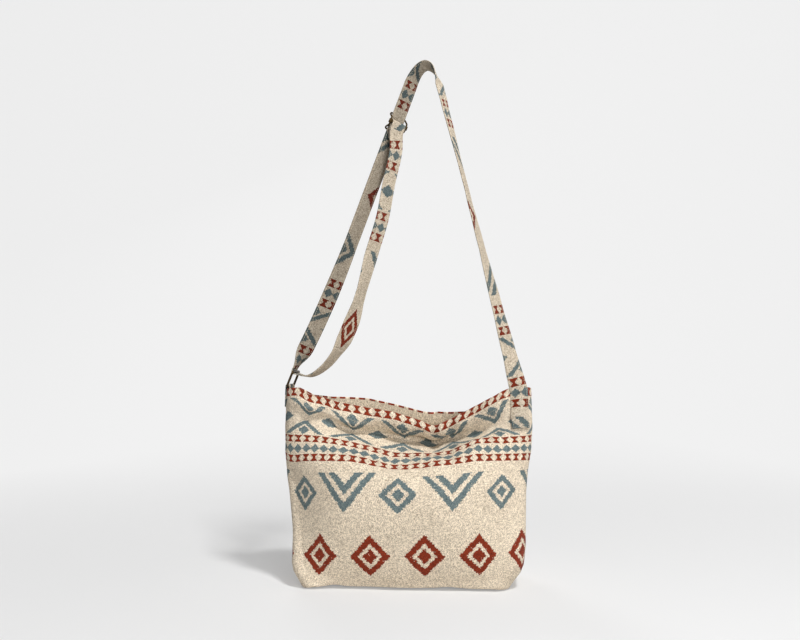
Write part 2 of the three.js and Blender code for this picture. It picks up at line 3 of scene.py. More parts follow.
import bpy
import numpy as np
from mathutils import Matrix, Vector


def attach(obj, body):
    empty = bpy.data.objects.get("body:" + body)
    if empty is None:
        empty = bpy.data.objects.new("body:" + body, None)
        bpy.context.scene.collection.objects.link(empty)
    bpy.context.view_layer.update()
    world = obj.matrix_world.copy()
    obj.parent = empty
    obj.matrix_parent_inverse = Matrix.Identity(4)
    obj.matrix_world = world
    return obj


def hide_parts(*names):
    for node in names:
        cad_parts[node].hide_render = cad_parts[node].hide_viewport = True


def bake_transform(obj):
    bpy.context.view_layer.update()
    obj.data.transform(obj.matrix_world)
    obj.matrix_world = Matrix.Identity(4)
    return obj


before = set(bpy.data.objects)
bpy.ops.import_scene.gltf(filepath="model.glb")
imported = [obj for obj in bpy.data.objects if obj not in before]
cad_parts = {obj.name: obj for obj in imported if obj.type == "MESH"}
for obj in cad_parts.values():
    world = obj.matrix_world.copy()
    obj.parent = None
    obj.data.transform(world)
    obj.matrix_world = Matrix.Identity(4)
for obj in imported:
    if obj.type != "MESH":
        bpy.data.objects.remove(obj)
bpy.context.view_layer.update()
scene = bpy.context.scene
MM = 0.001
UP, AWAY = np.array([0.0, 0, 1]), np.array([0.0, 1, 0])
RNG = np.random.default_rng(7)

# Sizes and shape of the part, as in its source, in millimetres
BASE_W, BASE_D, BAG_W, HEIGHT = 292, 122, 360, 302
BASE_R, RIM_R, RIM_FLAT, BULGE = 26, 21, 3, 3
CLOTH, HEM, HEM_LAYER, SEAM, GAP = 1.4, 22, 1.2, 0.3, 0.3
SLOUCH_X, FOLD_X, SOFT, LEFT, RIGHT, START = 43, 32, 7, 0.56, 0.51, 0.4
LEAN = {
    -1: np.array([
        (0, -26), (0.08, -19.5), (0.2, -9.5), (0.33, -2.5), (0.45, 8), (0.53, 35), (0.6, 58),
        (0.68, 71), (0.81, 80), (0.862, 74), (0.887, -52), (0.912, -50), (0.938, -34),
        (0.965, -16), (1, -4)]),
    1: np.array([
        (0, -26), (0.08, -17), (0.2, -7), (0.33, 0), (0.42, 12), (0.47, 52), (0.54, 66), (0.57, 45),
        (0.6, -48), (0.65, -65), (0.68, -45), (0.71, 54), (0.76, 76), (0.79, 54), (0.82, -52),
        (0.87, -70), (0.9, -40), (0.935, 32), (0.96, 14), (1, 0)]),
}
SIDES = np.array([(0, 0), (0.04, 0.22), (0.08, 0.48), (0.12, 0.61), (0.2, 0.69), (0.45, 0.72),
                  (0.56, 0.8), (0.66, 0.94), (0.8, 1), (1, 0.95)])
WALL_PART, CORNER_PART = 0.84, 0.97
STRAP_W, STRAP_T, ANCHOR_L, ANCHOR_OFF = 26, 1.8, 60, -33
HANG_X, HANG_Y, HANG_H, ARCH_SPAN, ARCH_DROP, ARCH_LIFT, FADE = 25, 0, 751, 42, 31, 1.28, 60
TURN = np.array([(0, 44), (0.15, 42), (0.23, 53), (0.31, 58), (0.45, 71), (0.55, 75), (0.64, 79),
                 (0.74, 80), (0.84, 75), (1, 68), (1.5, 114), (2, 130), (2.03, 131), (2.55, 131),
                 (2.73, 146)])
RING_TWIST, LEFT_STRAIGHT, LEFT_BEND, LEFT_SWEEP = 36, 236, 7, 0.6
RING_WIRE, RING_SIDE, RING_H, RING_R = 3.4, 2.5, 20, 3.6
TAB_T, TAB_L, TAB_OFF = 1.6, 26, -3
SL_WIRE, SL_H, SL_DROP, SL_R, SL_FLAT = 2.6, 24, 60, 4, 9
SLEEVE_WALL, SLEEVE_L, SIDE_SPACE, TAIL_L, BOW = 1, 6, 0.4, 20, 54
RETURN = [(-0.018, 0.42), (0.016, 0.74), (0.09, 0.95), (0.2, 1), (0.33, 0.92), (0.47, 0.79),
          (0.62, 0.68), (0.76, 0.47), (0.89, 0.3)]


def mix(a, b, t):
    return a + (b - a) * t


def smooth(x, low, high):
    t = np.clip((x - low) / (high - low), 0, 1)
    return t * t * (3 - 2 * t)


def unit(v):
    v = np.asarray(v, float)
    return v / np.maximum(np.linalg.norm(v, axis=-1, keepdims=True), 1e-12)


def lengths(points):
    """Length along a line of points, or along each row of a grid of them."""
    step = np.linalg.norm(np.diff(points, axis=-2), axis=-1)
    return np.concatenate([np.zeros_like(step[..., :1]), np.cumsum(step, -1)], -1)


def at_lengths(at, run, points):
    """Points at given lengths along a line of points."""
    return np.stack([np.interp(at, run, points[:, c]) for c in range(3)], -1)


NOISE_SIZE = 64
NOISE = RNG.random((NOISE_SIZE, NOISE_SIZE))


def value_noise(x, y):
    """Smooth random height over a plane, the same each run."""
    x, y = np.broadcast_arrays(np.asarray(x, float), np.asarray(y, float))
    i, j = np.floor(x).astype(int), np.floor(y).astype(int)
    fx, fy = x - i, y - j
    fx, fy = fx * fx * (3 - 2 * fx), fy * fy * (3 - 2 * fy)
    pick = lambda a, b: NOISE[a % NOISE_SIZE, b % NOISE_SIZE]
    low = mix(pick(i, j), pick(i + 1, j), fx)
    high = mix(pick(i, j + 1), pick(i + 1, j + 1), fx)
    return mix(low, high, fy) * 2 - 1


# Bag body

def slouch(x, share):
    """Share of the full lean that a place across the wall has."""
    lowest = mix(FOLD_X, SLOUCH_X, smooth(share, 0.55, 0.7))
    reach = BAG_W / 2 + np.where(x < lowest, lowest, -lowest)
    off = np.hypot(x - lowest, SOFT) - SOFT
    amount = mix(1, np.where(x < lowest, LEFT, RIGHT), off / reach)
    return mix(1, amount, smooth(share, START - 0.05, START + 0.05))


def upright(side, x, share):
    """Depth and height of a wall at shares of its length, for places across it."""
    count = 604
    at = (np.arange(count) + 0.5) / count
    lean = np.interp(at, LEAN[side][:, 0], LEAN[side][:, 1])
    angle = np.radians(lean[:, None] * slouch(x[None, :], at[:, None]))
    step = HEIGHT / count
    zero = np.zeros((1, len(x)))
    depth = np.vstack([zero, np.cumsum(-np.sin(angle), 0) * step]) + BASE_D / 2
    height = np.vstack([zero, np.cumsum(np.cos(angle), 0) * step])
    p = np.clip(share, 0, 1) * count
    i = np.minimum(p.astype(int), count - 1)
    f = (p - i)[:, None]
    return mix(depth[i], depth[i + 1], f), mix(height[i], height[i + 1], f)


def wall(side, rounds, share):
    """Outer surface of a panel: rows from base to rim, columns from seam to seam."""
    end = np.where(rounds < 0, -1, 1)
    q = np.clip(np.abs(rounds) / WALL_PART, 0, 1)
    depth, own = upright(side, end * q * BAG_W / 2, share)
    ends = np.array([-BAG_W / 2, BAG_W / 2])
    end_depth, end_height = upright(side, ends, share)
    other_height = upright(-side, ends, share)[1]
    s = share[:, None]
    half = mix(BASE_W, BAG_W, np.interp(s, SIDES[:, 0], SIDES[:, 1])) / 2
    corner = mix(BASE_R, RIM_R, s)
    flat = mix(BASE_D / 2 - BASE_R, RIM_FLAT, smooth(s, 0, 0.9))
    slope = np.zeros_like(end_depth)
    for _ in range(12):
        join = half - corner * (1 - np.sin(slope))
        slope = np.arctan(BULGE * (end_depth - flat - corner * np.cos(slope)) / join)
    k = (end > 0).astype(int)
    slope, join = slope[:, k], join[:, k]
    height = mix(own, ((end_height + other_height) / 2)[:, k], q ** 6)
    join_depth = flat + corner * np.cos(slope)
    t = np.clip((np.abs(rounds) - WALL_PART) / (CORNER_PART - WALL_PART), 0, 1)
    angle = mix(slope, math.pi / 2, t)
    to_seam = np.clip((1 - np.abs(rounds)) / (1 - CORNER_PART), 0, 1)
    on_wall = np.abs(rounds) <= WALL_PART
    x = np.where(on_wall, q * join, half - corner * (1 - np.sin(angle)))
    y = np.where(on_wall, join_depth + (depth - join_depth) * (1 - q ** BULGE),
                 flat * to_seam + corner * np.cos(angle))
    return np.stack([end * x, side * y, height], -1)


def grid_normals(p, side):
    n = unit(np.cross(np.gradient(p, axis=1), np.gradient(p, axis=0)))
    return n * np.sign(side * n[..., 1].mean())


def thickness(share):
    return CLOTH + HEM_LAYER * smooth((share - 1) * HEIGHT + HEM, -2, 2)


# Mesh helpers

def mesh_object(name, points, faces, materials, uvs=None, face_material=None):
    mesh = bpy.data.meshes.new(name)
    mesh.from_pydata((np.asarray(points) * MM).tolist(), [], faces)
    if uvs is not None:
        loops = np.zeros(len(mesh.loops), np.int32)
        mesh.loops.foreach_get("vertex_index", loops)
        layer = mesh.uv_layers.new(name="cloth")
        layer.data.foreach_set("uv", np.asarray(uvs, np.float32)[loops].ravel())
    for m in materials:
        mesh.materials.append(m)
    if face_material is not None:
        mesh.polygons.foreach_set("material_index", np.asarray(face_material, np.int32))
    mesh.polygons.foreach_set("use_smooth", np.ones(len(mesh.polygons), bool))
    mesh.update()
    obj = bpy.data.objects.new(name, mesh)
    scene.collection.objects.link(obj)
    return obj


def grid_faces(rows, columns):
    i, j = np.meshgrid(np.arange(rows - 1), np.arange(columns - 1), indexing="ij")
    a = (i * columns + j).ravel()
    return np.stack([a, a + 1, a + columns + 1, a + columns], -1).tolist()


def ring_faces(rings, size, closed=False, capped=False, first=0):
    """Faces between rings of points, in a row or a closed loop, and over a row's ends if capped."""
    faces = []
    for i in range(rings if closed else rings - 1):
        a, b = first + i * size, first + (i + 1) % rings * size
        faces += [[a + j, a + (j + 1) % size, b + (j + 1) % size, b + j] for j in range(size)]
    if capped:
        last = first + (rings - 1) * size
        faces += [list(range(first, first + size))[::-1], list(range(last, last + size))]
    return faces


def outward_faces(points, faces):
    """The same faces, turned over if the closed mesh is inside out."""
    p = np.asarray(points)
    volume = sum(np.dot(p[f[0]], np.cross(p[f[k]], p[f[k + 1]]))
                 for f in faces for k in range(1, len(f) - 1))
    return [f[::-1] for f in faces] if volume < 0 else faces


# Node helpers

def feed(node, values):
    """Set or link a node's inputs, by name or number."""
    for name, value in values.items():
        source = value.socket if isinstance(value, Wire) else value
        if hasattr(source, "is_output"):
            node.id_data.links.new(source, node.inputs[name])
        else:
            node.inputs[name].default_value = source


def math_op(kind):
    return lambda self, *others: self.op(kind, *others)


class Wire:
    """A number in a node tree, with the usual arithmetic."""

    def __init__(self, socket):
        self.socket = socket

    def op(self, kind, *others, clamp=False):
        node = self.socket.id_data.nodes.new("ShaderNodeMath")
        node.operation, node.use_clamp = kind, clamp
        feed(node, dict(enumerate((self, *others))))
        return Wire(node.outputs[0])

    __add__, __sub__ = math_op("ADD"), math_op("SUBTRACT")
    __mul__, __truediv__ = math_op("MULTIPLY"), math_op("DIVIDE")
    __lt__, __gt__ = math_op("LESS_THAN"), math_op("GREATER_THAN")
    abs, floor, sin = math_op("ABSOLUTE"), math_op("FLOOR"), math_op("SINE")
    both, either = math_op("MINIMUM"), math_op("MAXIMUM")

    def __neg__(self): return self * -1
    def clamped(self): return self.op("MULTIPLY_ADD", 1.0, 0.0, clamp=True)
    def between(self, low, high): return (self > low).both(self < high)
    def beside(self, middle, pitch): return (self - middle).op("WRAP", pitch / 2, -pitch / 2).abs()


class Tree:
    """A material's node tree with its shader and short ways to add nodes."""

    def __init__(self, name):
        self.material = bpy.data.materials.new(name)
        self.material.use_nodes = True
        self.tree = self.material.node_tree
        self.shader = self.tree.nodes["Principled BSDF"]

    def node(self, kind, inputs=(), **settings):
        node = self.tree.nodes.new(kind)
        for key, value in settings.items():
            setattr(node, key, value)
        feed(node, dict(inputs))
        return node

    def cloth_place(self):
        uv = self.node("ShaderNodeUVMap", uv_map="cloth").outputs["UV"]
        split = self.node("ShaderNodeSeparateXYZ", {0: uv})
        return Wire(split.outputs[0]), Wire(split.outputs[1])

    def vector(self, x, y, z=0.0):
        return self.node("ShaderNodeCombineXYZ", {0: x, 1: y, 2: z}).outputs[0]

    def random(self, x, y, z=0.0):
        place = {"Vector": self.vector(x, y, z)}
        node = self.node("ShaderNodeTexWhiteNoise", place, noise_dimensions="3D")
        return Wire(node.outputs["Value"])

    def noise(self, vector, scale, detail=2.0, rough=0.5):
        inputs = {"Vector": vector, "Scale": scale, "Detail": detail, "Roughness": rough}
        return Wire(self.node("ShaderNodeTexNoise", inputs).outputs["Fac"])

    def blend(self, share, low, high):
        return self.node("ShaderNodeMix", {0: share, 6: low, 7: high}, data_type="RGBA").outputs[2]

    def bump(self, height, distance, strength):
        inputs = {"Height": height, "Distance": distance, "Strength": strength}
        feed(self.shader, {"Normal": self.node("ShaderNodeBump", inputs).outputs[0]})


def colour(r, g, b):
    """A display colour, 0 to 255, as linear numbers."""
    return tuple(((v / 255 + 0.055) / 1.055) ** 2.4 for v in (r, g, b)) + (1.0,)


# Cloth materials

CREAM, CREAM_DARK, FLECK = colour(255, 240, 216), colour(161, 143, 121), colour(112, 97, 81)
RED, RED_DARK = colour(162, 61, 34), colour(80, 30, 19)
BLUE, BLUE_DARK = colour(132, 146, 145), colour(62, 78, 82)
THREAD_U, THREAD_T, STEP_U, STEP_T = 0.8, 0.95, 7.6, 1.5
PITCH, REPEAT = 15.22, 76.1
LATTICE_T, HALF_PERIOD = 42.0, 208.4
COLUMN_RED, COLUMN_BLUE, COLUMN_VEE = 29.1, -7.6, 68.5
SKEW, SKEW_RISE = 0.024, 1.5  # the cloth is cut a little off its grain

# Rows of the pattern from the lattice's middle line, and half sizes of what is in them
TIE_ROWS, TIE_HALF, TIE_WAIST, TIE_SPREAD = (37.9, 69.1), 5.8, 0.1, 0.34
BEAD_ROW, BEAD_HALF = 53.5, (8.0, 7.4)
ARM_START, ARM_SLOPE, ARM_BROAD, ARM_END = 4.0, 0.72, 7.6, 28.5
NEST_ROW, NEST_HALF, EYE_HALF = 22.0, (9.8, 8.0), (15.5, 9.4)
VEE_TOP, VEE_FOOT, VEE_SLOPE, VEE_LIMBS = 89.7, 146.0, 1.238, ((0.0, 13.5), (24.0, 38.0))
BLUE_ROW, BLUE_HALF, BLUE_CORE = 121.5, (26.6, 25.8), 0.37
RED_HALF, RED_CORE, OUTLINE = (27.8, 30.8), 0.38, (0.62, 1.02)


def diamond(across, along, half):
    """Nought in the middle of a diamond, one on its edge."""
    return across / half[0] + along / half[1]


def cloth_material(name, patterned, shade_tone=1.0):
    """Heathered weave; its tone factor darkens all its threads, as painted shade on the strap's
    cloth.
    """
    k = Tree(name)
    shade_toned = lambda c: tuple(v * shade_tone for v in c[:3]) + (1.0,)
    u, t = k.cloth_place()
    column = (u / THREAD_U).floor()
    row = (t / THREAD_T).floor()
    grain = k.random(column, row)
    speck = k.random(column, row, 5.0)
    slub = k.noise(k.vector(u * 0.035, row * 0.83), 1.0, 2.0)
    cloudy = k.noise(k.vector(u * 0.02, t * 0.02), 1.0, 2.0)
    coarse = k.random((u / 1.4).floor(), (t / 1.2).floor(), 3.0)
    pale = (grain * 0.45 + coarse * 0.65 + slub * 0.45 + cloudy * 0.2 - 0.28).clamped()
    ground = k.blend(pale, shade_toned(CREAM_DARK), shade_toned(CREAM))
    ground = k.blend((speck > 0.93) * (grain * 0.5 + 0.3), ground, shade_toned(FLECK))
    if patterned:
        step = (t / STEP_T).floor()
        ragged = k.random(step, (u / STEP_U).floor(), 2.0) - 0.5
        wander = k.noise(k.vector(u * 0.05, t * 0.05), 1.0, 1.0) - 0.5
        plain = (column + 0.5) * THREAD_U + wander * 2.0
        pu = plain + ragged * 2.8
        pt = (step + 0.5) * STEP_T
        off = (pt - LATTICE_T).op("PINGPONG", HALF_PERIOD)
        near = (plain + ragged * 0.9).beside(0.0, PITCH)
        band = (off - TIE_ROWS[0]).abs().both((off - TIE_ROWS[1]).abs())
        tie = band * (TIE_SPREAD * PITCH / TIE_HALF) + TIE_WAIST * PITCH
        ties = (band < TIE_HALF).both(near < tie)
        beads = diamond(near, (off - BEAD_ROW).abs(), BEAD_HALF) < 1.0
        arm = (plain + ragged * 2.4).beside(COLUMN_BLUE, REPEAT)
        lift = off - ARM_START - arm * ARM_SLOPE
        arms = lift.between(0.0, ARM_BROAD).both(off < ARM_END)
        nested = diamond(arm, (off - NEST_ROW).abs(), NEST_HALF) < 1.0
        middle = pu.beside(COLUMN_RED, REPEAT)
        eyes = diamond(middle, off, EYE_HALF) < 1.0
        rise = -(off - VEE_FOOT) - pu.beside(COLUMN_VEE, 2 * REPEAT) * VEE_SLOPE
        limbs = rise.between(*VEE_LIMBS[0]).either(rise.between(*VEE_LIMBS[1]))
        vees = limbs.both(off.between(VEE_TOP, VEE_FOOT))
        blue_r = diamond(pu.beside(COLUMN_BLUE, 2 * REPEAT), (off - BLUE_ROW).abs(), BLUE_HALF)
        blue_diamond = blue_r.between(*OUTLINE).either(blue_r < BLUE_CORE)
        red_r = diamond(middle, -(off - HALF_PERIOD), RED_HALF)
        red_diamond = red_r.between(*OUTLINE).either(red_r < RED_CORE)
        reds = ties.either(red_diamond)
        blues = beads.either(arms).either(nested).either(eyes).either(vees).either(blue_diamond)
        shade = (grain * 0.4 + coarse * 0.5 + slub * 0.5 - 0.2).clamped()
        show = k.random(column, row, 9.0) < 0.996
        ground = k.blend(reds.both(show), ground, k.blend(shade, shade_toned(RED_DARK), shade_toned(RED)))
        ground = k.blend(blues.both(show), ground, k.blend(shade, shade_toned(BLUE_DARK), shade_toned(BLUE)))
    feed(k.shader, {"Base Color": ground, "Roughness": grain * 0.1 + 0.84, "Sheen Weight": 0.05,
                    "Sheen Roughness": 0.5, "Specular IOR Level": 0.12})
    weave = (u * (math.pi / THREAD_U)).sin() * (t * (math.pi / THREAD_T)).sin()
    k.bump(weave + grain * 0.8 + slub * 0.8, 0.0004, 0.5)
    return k.material


def thread_material():
    k = Tree("thread")
    place = k.node("ShaderNodeTexCoord").outputs["Object"]
    ply = k.node("ShaderNodeTexWave", {"Vector": place, "Scale": 900.0},
                 wave_type="BANDS", bands_direction="DIAGONAL")
    twist = k.blend(ply.outputs["Fac"], colour(196, 178, 150), colour(226, 212, 188))
    feed(k.shader, {"Base Color": twist, "Roughness": 0.7, "Sheen Weight": 0.2})
    return k.material


def brass_material():
    k = Tree("antique_brass")
    place = k.node("ShaderNodeTexCoord").outputs["Object"]
    patina = k.noise(place, 420.0, 4.0, 0.6)
    worn = k.noise(place, 90.0, 2.0)
    edge = Wire(k.node("ShaderNodeNewGeometry").outputs["Pointiness"])
    bright = (patina * 0.9 + worn * 0.7 + (edge - 0.5) * 2.0 - 0.45).clamped()
    metal = k.blend(bright, colour(26, 21, 15), colour(98, 79, 50))
    feed(k.shader, {"Base Color": metal, "Roughness": patina * 0.25 + 0.26, "Metallic": 1.0})
    k.bump(patina, 0.0002, 0.25)
    return k.material


JACQUARD = cloth_material("jacquard_cloth", True)
# The strap's cloth is this weave darkened as painted shade: the face a little, the reverse much
# more.
SHADED_STRAP_FACE = cloth_material("strap_face_painted_shade", True, 0.74)
SHADED_STRAP_REVERSE = cloth_material("strap_reverse_painted_shade", True, 0.47)
LINING = cloth_material("plain_cloth", False)
THREAD = thread_material()
BRASS = brass_material()


# Panels

HALF_ROUND = np.concatenate([
    np.linspace(0, WALL_PART, 96),
    np.linspace(WALL_PART, CORNER_PART, 15)[1:],
    np.linspace(CORNER_PART, 1, 4)[1:]])
ROUNDS = np.concatenate([-HALF_ROUND[:0:-1], HALF_ROUND])
TO_SEAM = 1 - np.abs(ROUNDS)[None, :]
PANEL_SHARES = np.concatenate([np.linspace(0, 0.5, 80), np.linspace(0.5, 1, 105)[1:]])
DOWN = (1 - PANEL_SHARES[:, None]) * HEIGHT
BASE_ROWS, CAP_ROWS = 11, 5
INWARD = np.sin(np.linspace(0, math.pi / 2, BASE_ROWS))[:-1, None]
HEM_LINE = 18
TURNED = {-1: 0, 1: 2}  # rows of the pattern that show inside the rim

SAG_X = np.arange(-160, 161, 20)
SAG_T = np.array([0, 37.7, 79.9, 95.5, 111.1, 134.5, 160])
SAG = np.array([
    [3, -4, -3, -4, -2.5, -1.5, 0.5, 2.5, 2, 1, -3, -3.5, -2.5, -1, 0.5, 3, 3.5],
    [4, 1, 1.5, -4, -6, -4.5, -2.5, -2, -1, 2, 0, -1, -4.5, -7.5, -5, -5, -5],
    [0, 1.5, 2.5, 2.5, 1.5, -0.5, -3.5, -6, -4.5, -1.5, -0.5, -1, 3, 8, 6, 1.5, 0],
    [-1.5, 0, 1.5, 2.5, 3, 1, -3.5, -7.5, -4.5, 0, 2, 0, 4.5, 8, 3.5, 1, 1],
    [-3.5, -0.5, 1.5, 3, 4, 2, -2, -6, -5, -1.5, 2, 3, 4.5, 6, 4.5, 3, 2],
    [-2, -2, -1.5, -0.5, 0, 1, 1.5, 0, -1.5, -3, -2, -0.5, 0.5, 1.5, 1.5, 0.5, 0],
    [0] * 17,
])
BACK_SAG = ((-165, -145, -120, -90, -66, -22, 18, 42, 62, 85, 115, 145, 165),
            (0, -11, -10.5, -6, -3, -3.5, -5, -3, -10, -17, -16, -10, 0))
# Rolls of the flap: place, width, height
ROLLS = ((-142, 20, 9), (-80, 24, 11), (-14, 26, 10), (34, 24, 11), (78, 18, 6), (122, 22, 7))
# Dents of the flap: place and width across, place and width down, depth
DENTS = ((37, 6, 10, 9, 4.0), (61, 7, 9, 9, 3.0), (36, 36, 32, 4.2, 7.5))
# Front's base edge: lift, more lift by place and width, reach of it, and the left corner's pull
EDGE_LIFT, EDGE_MORE = 2.6, ((2.4, -98, 14), (2.2, 62, 16))
EDGE_REACH, CORNER_PULL = np.array([30.0, 30, 40]), 20


def hump(x, middle, width):
    return np.exp(-((x - middle) / width) ** 2)


def bicubic(table, rows, columns, at_rows, at_columns):
    """Smooth values between the entries of a table."""
    def weights(stops, at):
        i = np.clip(np.searchsorted(stops, at, "right") - 1, 0, len(stops) - 2)
        f = np.clip((at - stops[i]) / (stops[i + 1] - stops[i]), 0, 1)
        return i, f * f * (3 - 2 * f)
    i, f = weights(rows, at_rows)
    j, g = weights(columns, at_columns)
    low = mix(table[i, j], table[i, j + 1], g)
    return mix(low, mix(table[i + 1, j], table[i + 1, j + 1], g), f)


def sag(skin):
    """How far the front's cloth hangs above or below its plain loft."""
    return bicubic(SAG, SAG_T, SAG_X, np.broadcast_to(DOWN, skin.shape[:2]), skin[..., 0])


def back_sag(skin):
    """How far the back's rim hangs below its plain loft."""
    return np.interp(skin[..., 0], *BACK_SAG) * smooth(-DOWN, -60, -5)


def rolls(skin):
    """Soft rolls and creases of the front's flap, along its normal."""
    x = skin[..., 0]
    from_left, low_part = smooth(x, -95, -25), hump(x, 30, 45)
    peak = mix(23.0, 15.0, from_left) - 7.0 * low_part
    below = mix(7.5, 14.0, from_left) + 4.0 * low_part
    lip = np.where(DOWN < peak, hump(DOWN, peak, 12), hump(DOWN, peak, below))
    out = sum(size * hump(x, middle, width) for middle, width, size in ROLLS) * lip
    out = out + 5.0 * hump(x, 49, 5) * smooth(-DOWN, -36, -4)
    for across, width, down, height, depth in DENTS:
        out = out - depth * hump(x, across, width) * hump(DOWN, down, height)
    return out - 8.0 * smooth(-x, 80, 172) * smooth(DOWN, 110, 150)


def wrinkles(side):
    """How far the cloth stands off its plain loft, in millimetres."""
    x = ROUNDS[None, :] * BAG_W / 2
    seed = 11 if side < 0 else 37
    broad = value_noise(x / 62 + seed, DOWN / 48 + seed) * 1.6
    fine = value_noise(x / 21 + seed, DOWN / 26 + 2 * seed) * 0.55
    hem_line = -0.5 * hump(DOWN, HEM_LINE, 1.1)
    calm = smooth(TO_SEAM, 0.02, 0.2) * smooth(DOWN, 2, 26)
    return (broad + fine) * calm + hem_line * smooth(TO_SEAM, 0.0, 0.05)


def settle(outer, side):
    """Tuck the left end in, and on the front lift the base edge and pull its left corner out."""
    x, y, z = np.moveaxis(outer, -1, 0)
    tuck = 7.0 * hump(z, 60, 45) - 3.0 * hump(z, 158, 30)
    x += tuck * smooth(-x, 95, 165)
    if side < 0:
        edge = outer[BASE_ROWS - 1]
        far = np.linalg.norm((outer - edge) / EDGE_REACH, axis=-1)
        lift = EDGE_LIFT * (1 - smooth(np.abs(edge[:, 0]), 118, 150))
        for more, middle, width in EDGE_MORE:
            lift = lift + more * hump(edge[:, 0], middle, width)
        corner = hump(edge[:, 0], -150, 36) * (1 - smooth(z, 0, 115))
        y -= CORNER_PULL * corner * smooth(-y, 4, 34)
        z += lift * (1 - smooth(far, 0, 1))
    for _ in range(5):  # the base edge is a soft fold
        near = slice(BASE_ROWS - 4, BASE_ROWS + 4)
        outer[near] = (outer[BASE_ROWS - 5:BASE_ROWS + 3] + outer[near] * 2
                       + outer[BASE_ROWS - 3:BASE_ROWS + 5]) / 4


def panel_places(outer, side):
    """Places on the cloth for a panel's outside, the cap of its rim and its inside."""
    run = lengths(outer)
    middle = run.shape[1] // 2
    u = run - run[:, middle:middle + 1]
    u = u + np.sign(u) * 0.14 * np.maximum(np.abs(u) - 105, 0)
    down = np.concatenate([HEIGHT + (1 - INWARD[:, 0]) * BASE_D / 2, DOWN[:, 0]])
    over = np.full(CAP_ROWS, 0.2) if side > 0 else -np.arange(1, CAP_ROWS + 1) * 0.6
    u = np.concatenate([u, np.repeat(u[-1:], CAP_ROWS, 0), u[::-1]])
    under = -down[::-1] - 4
    under[:TURNED[side]] = over[0]
    t = np.broadcast_to(np.concatenate([down, over, under])[:, None], u.shape).copy()
    length = np.linalg.norm(np.diff(outer, axis=0), axis=-1)
    from_rim = np.concatenate([np.cumsum(length[::-1], 0)[::-1], np.zeros((1, u.shape[1]))])
    walled = t[:len(outer)]
    walled += np.clip(from_rim - walled, 0, 8) * (1 - smooth(walled, 9, 36))
    t = t + (SKEW * u + SKEW_RISE) * smooth(t, 112, 165)
    return np.stack([-side * u, t], -1).reshape(-1, 2)


def panel_faces(total, count, size, turned):
    """Faces of a closed panel, and which of its two cloths each of them shows."""
    faces = grid_faces(total, size)
    shown = count + CAP_ROWS - 1 + turned
    kinds = [0 if i < shown else 1 for i in range(total - 1) for _ in range(size - 1)]
    last = (total - 1) * size
    faces += [[last + j, last + j + 1, j + 1, j] for j in range(size - 1)]
    kinds += [1] * (size - 1)
    for j, back in ((0, True), (size - 1, False)):
        strip = []
        for i in range(count - 1):
            a, b = i * size + j, (total - 1 - i) * size + j
            strip.append([a, b, b - size, a + size])
        strip.append([i * size + j for i in range(total - count, count - 2, -1)])
        faces += [f[::-1] for f in strip] if back else strip
        kinds += [0] * len(strip)
    return faces, kinds


def panel(name, side):
    """A closed cloth panel, and the grid of its outer surface."""
    skin = wall(side, ROUNDS, PANEL_SHARES)
    face = grid_normals(skin, side)
    off = wrinkles(side)
    if side < 0:
        calm = smooth(TO_SEAM, 0.03, 0.16)
        off = off + rolls(skin) * calm
        skin = skin + UP * (sag(skin) * calm)[..., None]
    else:
        skin = skin + UP * back_sag(skin)[..., None]
    skin = skin + face * off[..., None]
    base = np.stack([
        mix(ROUNDS[None, :] * BASE_W / 2, skin[0, :, 0], INWARD),
        mix(side * SEAM / 2, skin[0, :, 1], INWARD),
        np.zeros((BASE_ROWS - 1, len(ROUNDS))),
    ], -1)
    outer = np.concatenate([base, skin])
    settle(outer, side)
    ends = np.abs(ROUNDS) > WALL_PART
    apart = lambda p: side * np.maximum(side * p[:, ends, 1], SEAM / 2)
    outer[:, ends, 1] = apart(outer)
    outer[..., 2] = np.maximum(outer[..., 2], 0)
    normal = grid_normals(outer, side)
    normal[:, [0, -1], 1] = 0
    normal = unit(normal)
    thick = np.concatenate([np.full(BASE_ROWS - 1, CLOTH), thickness(PANEL_SHARES)])[:, None, None]
    inner = outer - normal * thick
    inner[:, ends, 1] = apart(inner)
    rise = unit(outer[-1] - outer[-2])
    centre, spoke = (outer[-1] + inner[-1]) / 2, (outer[-1] - inner[-1]) / 2
    turn = np.linspace(0, math.pi, CAP_ROWS + 2)[1:-1, None, None]
    round_off = np.linalg.norm(spoke, axis=-1)[..., None]
    cap = centre + spoke * np.cos(turn) + rise * round_off * np.sin(turn)
    rows = np.concatenate([outer, cap, inner[::-1]])
    points = rows.reshape(-1, 3)
    faces, kinds = panel_faces(len(rows), len(outer), len(ROUNDS), TURNED[side])
    faces = outward_faces(points, faces)
    obj = mesh_object(name, points, faces, (JACQUARD, LINING), panel_places(outer, side), kinds)
    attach(obj, "bag")
    return obj, outer


front, front_skin = panel("front_cloth", -1)
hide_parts("front_panel")
back, back_skin = panel("back_cloth", 1)
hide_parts("back_panel")


# Ribbons of cloth

EDGE, STITCH_IN = 0.9, 3


def end_patch(end, share, distance):
    """Outer surface and normals of a bag end at shares (rows) and distances round from its seam."""
    seam = 240
    rounds = end * (1 - np.linspace(0, 0.4, seam + 1))

    def path(s):
        s = np.clip(s, 0, 1)
        return np.concatenate([wall(-end, rounds, s)[:, :0:-1], wall(end, rounds, s)], 1)

    p = path(share)
    rise = path(share + 0.004) - path(share - 0.004)
    normal = unit(np.cross(np.gradient(p, axis=1), rise))
    normal *= np.sign(normal[:, seam, 0].mean()) * end
    run = lengths(p)
    run -= run[:, seam:seam + 1]
    pick = lambda values: np.stack([at_lengths(distance, *row) for row in zip(run, values)])
    return pick(p), unit(pick(normal))


def places_across(width):
    half = width / 2
    core = np.linspace(-(half - EDGE), half - EDGE, 15)
    rim = half - EDGE + EDGE * np.sin(np.radians([25, 50, 72, 90]))
    return np.concatenate([-rim[::-1], core, rim])


